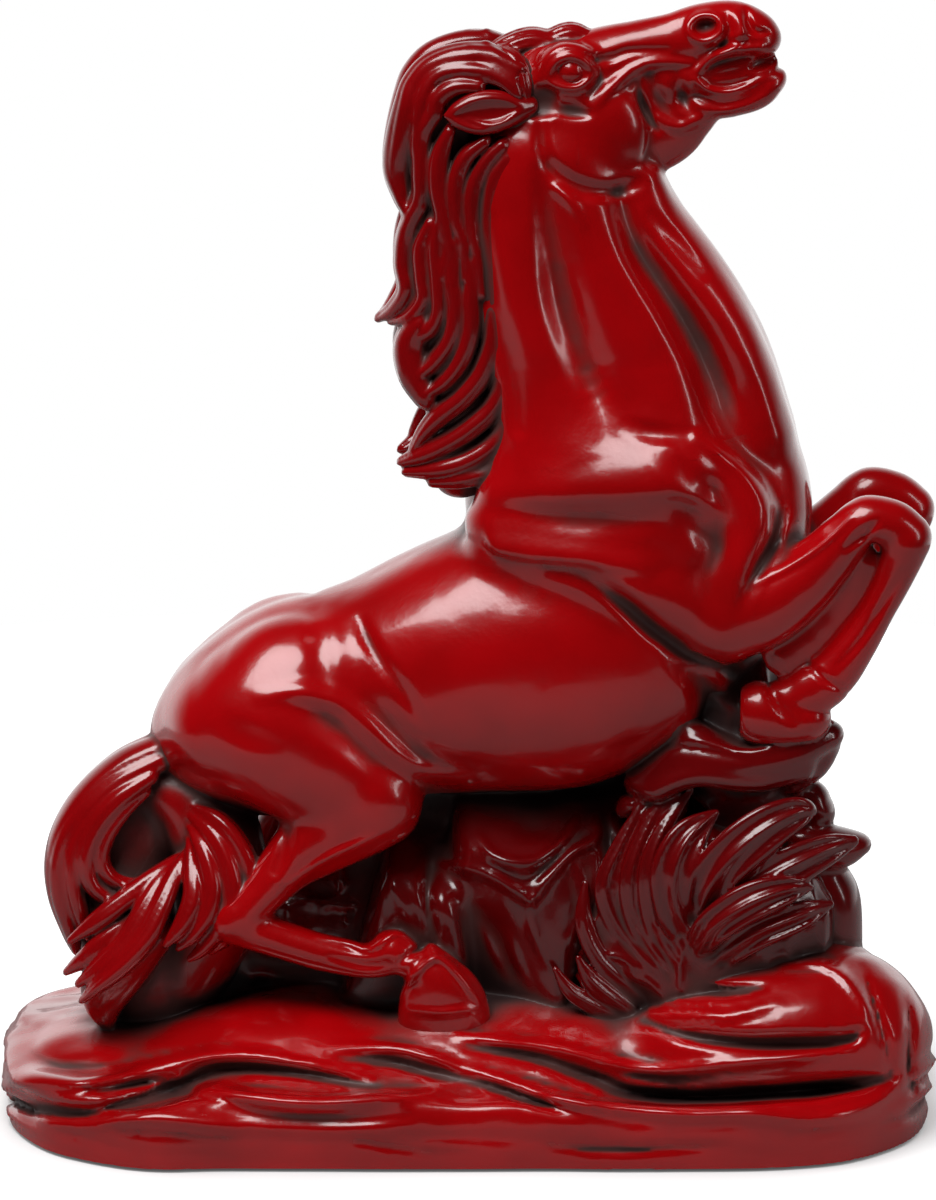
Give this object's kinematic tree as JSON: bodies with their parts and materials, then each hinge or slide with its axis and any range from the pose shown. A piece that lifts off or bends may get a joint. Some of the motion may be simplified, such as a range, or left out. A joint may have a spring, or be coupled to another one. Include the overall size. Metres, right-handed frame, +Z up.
{
  "type": "horse figurine",
  "caption": "Glossy deep-red cast-resin ornament of a horse rising from a rocky oval plinth, head up and mouth open, forelegs folded, flowing mane and tail.",
  "frame": {"origin": "middle of the footprint, on the surface that the figurine stands on", "axes": "+Z up, +X the way the horse faces, -Y the side that the picture shows"},
  "size_m": [0.1631, 0.08, 0.1978],
  "materials": {
    "red_resin": "high-gloss deep red lacquer over cast resin, with a dull brown-grey patina in the recesses",
    "felt": "dark green short-nap felt"
  },
  "bodies": {
    "root": {"head": "red_resin", "neck": "red_resin", "torso": "red_resin", "near_foreleg": "red_resin", "far_foreleg": "red_resin", "near_hind_leg": "red_resin", "far_hind_leg": "red_resin", "near_ear": "red_resin", "far_ear": "red_resin", "forelock": "red_resin", "mane": "red_resin", "tail": "red_resin", "leaf_clump": "red_resin", "support_stump": "red_resin", "belly_rock": "red_resin", "base_plinth": "red_resin", "felt_pad": "felt"}
  },
  "joints": []
}
